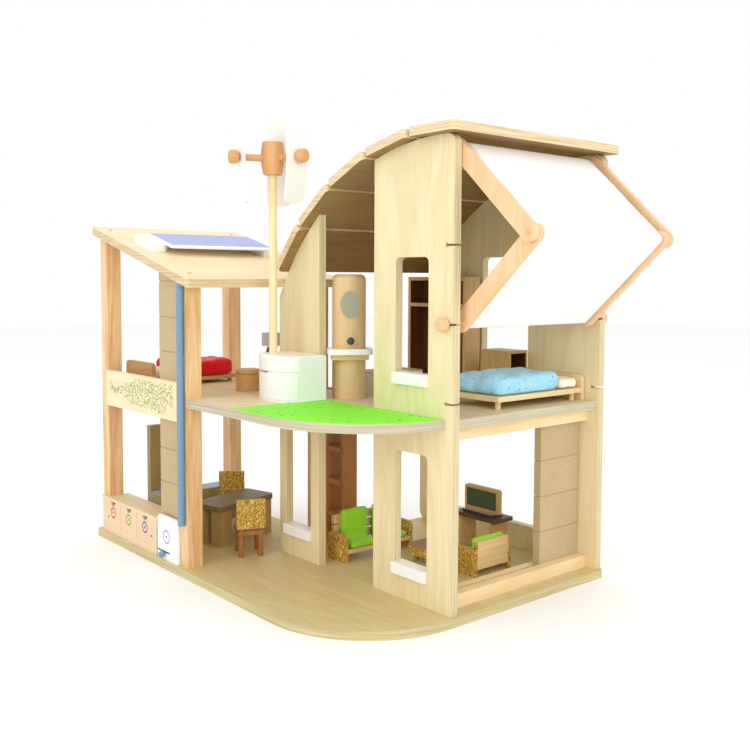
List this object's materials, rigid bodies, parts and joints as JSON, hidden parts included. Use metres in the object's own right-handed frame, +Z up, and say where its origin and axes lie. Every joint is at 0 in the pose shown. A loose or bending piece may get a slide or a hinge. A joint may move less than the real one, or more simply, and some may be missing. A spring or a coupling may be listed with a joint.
{
  "type": "wooden dollhouse",
  "caption": "Wooden dollhouse with an arched slatted roof, sloping side roof, folding cloth shade, spinning wind rotor, sliding panel, small cabinet and furnished rooms.",
  "frame": {"origin": "on the underside of the base board, below the outer front right corner of the tall front wall", "axes": "+X to the right along the front, +Y to the back, +Z up"},
  "size_m": [0.803, 0.4996, 0.6785],
  "materials": {
    "natural_ply": "clear matt lacquer",
    "light_wood": "clear satin lacquer",
    "fibreboard": "raw fibreboard",
    "printed_board": "printed, satin lacquer",
    "white_paint": "white paint, satin",
    "blue_paint": "blue paint, satin",
    "green_print": "green print, matt",
    "brass_nail": "polished",
    "shade_cloth": "plain weave cotton",
    "red_cloth": "brushed cotton",
    "blue_cloth": "brushed cotton",
    "cream_cloth": "cotton",
    "lime_cloth": "felt",
    "strand_board": "pressed strands, lacquered",
    "brown_wood": "brown stain, satin",
    "olive_wood": "olive brown stain, satin",
    "tv_wood": "clear satin lacquer"
  },
  "bodies": {
    "house": {"base_board": "natural_ply", "upper_floor": "natural_ply", "tall_front_wall": "natural_ply", "mid_front_wall": "natural_ply", "back_wall": "natural_ply", "posts": "light_wood", "left_roof": "light_wood", "dowel_pins": "light_wood", "roof_slat_1": "light_wood", "roof_slat_2": "light_wood", "roof_slat_3": "light_wood", "roof_slat_4": "light_wood", "roof_slat_5": "light_wood", "turbine_pole": "light_wood", "bed_left": "light_wood", "bed_right": "light_wood", "wash_stand": "light_wood", "left_panels": "fibreboard", "side_tracks": "fibreboard", "living_wall": "printed_board", "bin_front": "printed_board", "bin_box": "printed_board", "rain_barrel": "white_paint", "cabinet_body": "white_paint", "planters": "white_paint", "solar_panel": "white_paint", "bath_basin": "white_paint", "downpipe": "blue_paint", "barrel_tap": "blue_paint", "lawn": "green_print", "brass_nails": "brass_nail", "duvet_left": "red_cloth", "duvet_right": "blue_cloth", "pillows": "cream_cloth", "cushions": "lime_cloth", "sofa": "strand_board", "armchair": "strand_board", "dining_chairs": "strand_board", "coffee_table": "brown_wood", "tv_stand": "brown_wood", "ladder": "brown_wood", "wardrobe": "brown_wood", "stools": "brown_wood", "lamp": "brown_wood", "dining_table": "olive_wood", "kitchen": "olive_wood", "tv": "tv_wood"},
    "rotor": {"rotor_hub": "light_wood", "rotor_pegs": "light_wood", "rotor_blades": "white_paint"},
    "shade_upper": {"upper_arms": "light_wood", "upper_rods": "light_wood", "shade_cloth_upper": "shade_cloth"},
    "shade_lower": {"lower_arms": "light_wood", "bottom_rod": "light_wood", "shade_cloth_lower": "shade_cloth"},
    "clamp_front": {"clamp_front": "light_wood"},
    "clamp_back": {"clamp_back": "light_wood"},
    "sliding_panel": {"sliding_panel": "fibreboard"},
    "cabinet_door": {"cabinet_door": "white_paint"}
  },
  "joints": [
    {"name": "rotor_spin", "type": "hinge", "parent": "house", "child": "rotor", "pos_m": [-0.325, -0.048, 0.613], "axis": [0, 0, 1], "continuous": true},
    {"name": "shade_top_hinge", "type": "hinge", "parent": "house", "child": "shade_upper", "pos_m": [-0.0125, 0.156, 0.604], "axis": [0, -1, 0], "range_deg": [-39.4, 20.8]},
    {"name": "shade_elbow", "type": "hinge", "parent": "shade_upper", "child": "shade_lower", "pos_m": [0.106, 0.156, 0.493], "axis": [0, -1, 0], "range_deg": [-42, 79.2]},
    {"name": "clamp_front_pull", "type": "slide", "parent": "house", "child": "clamp_front", "axis": [0, -1, 0], "range_m": [0, 0.03]},
    {"name": "clamp_back_pull", "type": "slide", "parent": "house", "child": "clamp_back", "axis": [0, 1, 0], "range_m": [0, 0.03]},
    {"name": "panel_slide", "type": "slide", "parent": "house", "child": "sliding_panel", "axis": [0, -1, 0], "range_m": [0, 0.19]},
    {"name": "cabinet_door_hinge", "type": "hinge", "parent": "house", "child": "cabinet_door", "pos_m": [-0.3465, -0.0529, 0.285], "axis": [0, 0, -1], "range_deg": [0, 95]}
  ],
  "couplings": [
    {"joint": "shade_elbow", "follows": "shade_top_hinge", "ratio": -2}
  ]
}
